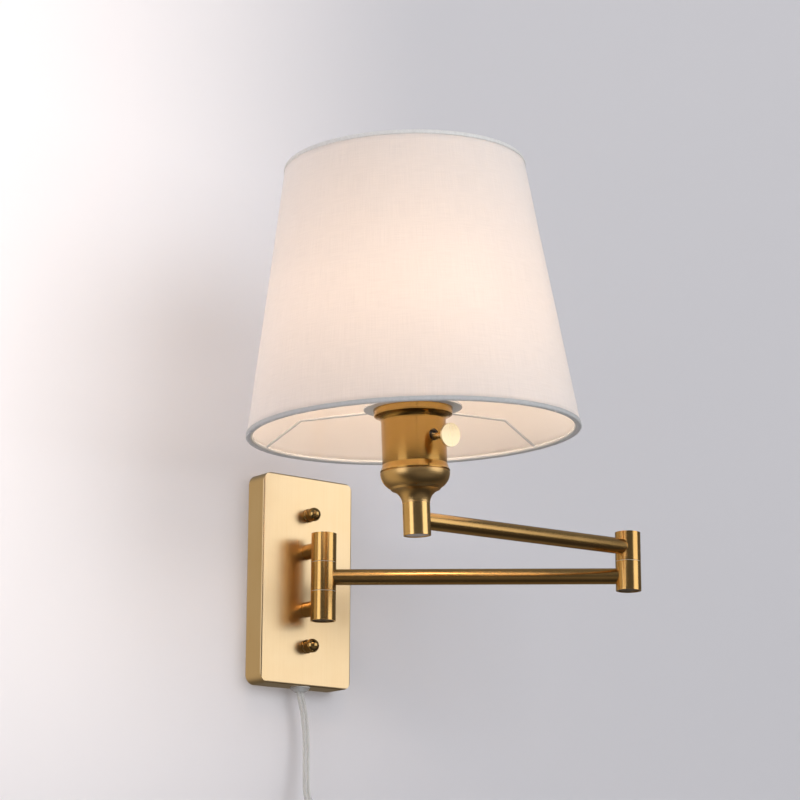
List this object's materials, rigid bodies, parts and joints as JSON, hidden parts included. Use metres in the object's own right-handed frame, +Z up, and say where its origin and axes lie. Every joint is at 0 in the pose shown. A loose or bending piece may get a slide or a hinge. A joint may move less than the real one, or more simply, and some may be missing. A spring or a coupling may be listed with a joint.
{
  "type": "swing arm wall sconce",
  "caption": "Plug-in wall light with a flat backplate, two jointed arms, a lamp socket with a turn switch and a tapered drum shade.",
  "frame": {"origin": "middle of the backplate's rim, on the wall's face", "axes": "+Z up, +X to the viewer's right when facing the wall, +Y into the wall; the lamp stands out towards -Y"},
  "size_m": [0.3719, 0.3526, 0.5842],
  "materials": {
    "brass_plate": "brushed satin",
    "brass_satin": "brushed satin",
    "brass_polished": "polished",
    "zinc_steel": "zinc plated",
    "dark_cap": "dark bronze",
    "stem_cap": "satin",
    "nylon": "matte",
    "clear_bushing": "clear",
    "connector_plastic": "matte",
    "wire_insulation": "gloss",
    "clear_cord": "clear PVC over tinned strands",
    "tie_plastic": "matte",
    "plug_plastic": "gloss",
    "contact_brass": "plain",
    "phenolic": "matte",
    "bulb_cap": "plain",
    "bulb_glass": "frosted",
    "white_metal": "gloss",
    "shade_fabric": "fine weave",
    "shade_liner": "matte",
    "shade_trim": "rolled tape"
  },
  "bodies": {
    "wall_mount": {"wall_bracket": "zinc_steel", "bracket_studs": "zinc_steel", "backplate": "brass_plate", "cap_nuts": "brass_polished", "pivot_posts": "brass_satin", "post_nuts": "zinc_steel", "upper_pivot_knuckle": "brass_satin", "lower_pivot_knuckle": "brass_satin", "pivot_pin": "zinc_steel", "pivot_end_caps": "dark_cap", "pivot_washers": "nylon", "strain_relief": "clear_bushing", "wire_connectors": "connector_plastic", "lead_wires": "wire_insulation", "power_cord": "clear_cord", "cord_coil": "clear_cord", "cord_tie": "tie_plastic", "cord_tail": "clear_cord", "plug_body": "plug_plastic", "plug_blades": "contact_brass"},
    "lower_arm": {"middle_pivot_knuckle": "brass_satin", "lower_arm_tube": "brass_satin", "lower_arm_wire": "wire_insulation", "elbow_lower_knuckle": "brass_satin", "elbow_pin": "zinc_steel", "elbow_bottom_cap": "dark_cap", "elbow_washer": "nylon"},
    "upper_arm": {"elbow_upper_knuckle": "brass_satin", "elbow_top_cap": "dark_cap", "upper_arm_tube": "brass_satin", "upper_arm_wire": "wire_insulation", "stem": "brass_satin", "stem_cap": "stem_cap", "socket_nipple": "zinc_steel", "nipple_nut": "zinc_steel", "socket_cup": "brass_satin", "socket_shell": "brass_satin", "socket_insulator": "phenolic", "switch_block": "phenolic", "screw_shell": "contact_brass", "centre_contact": "contact_brass", "bulb_base": "bulb_cap", "bulb_glass": "bulb_glass", "fitter_ring": "white_metal", "shade_clamp_ring": "white_metal", "shade_spokes": "white_metal", "shade_bottom_ring": "white_metal", "shade_top_ring": "white_metal", "shade_fabric": "shade_fabric", "shade_liner": "shade_liner", "shade_trim": "shade_trim"},
    "switch_knob": {"switch_shaft": "brass_satin", "switch_disc": "brass_satin"}
  },
  "joints": [
    {"name": "shoulder_swing", "type": "hinge", "parent": "wall_mount", "child": "lower_arm", "pos_m": [0, -0.043, 0], "axis": [0, 0, 1], "range_deg": [-140, 40]},
    {"name": "elbow_swing", "type": "hinge", "parent": "lower_arm", "child": "upper_arm", "pos_m": [0.18385, -0.19727, 0.0116], "axis": [0, 0, -1], "range_deg": [-262, 3]},
    {"name": "switch_turn", "type": "hinge", "parent": "upper_arm", "child": "switch_knob", "pos_m": [-0.05652, -0.24305, 0.06907], "axis": [0.0065, -0.9916, -0.1289], "continuous": true}
  ]
}
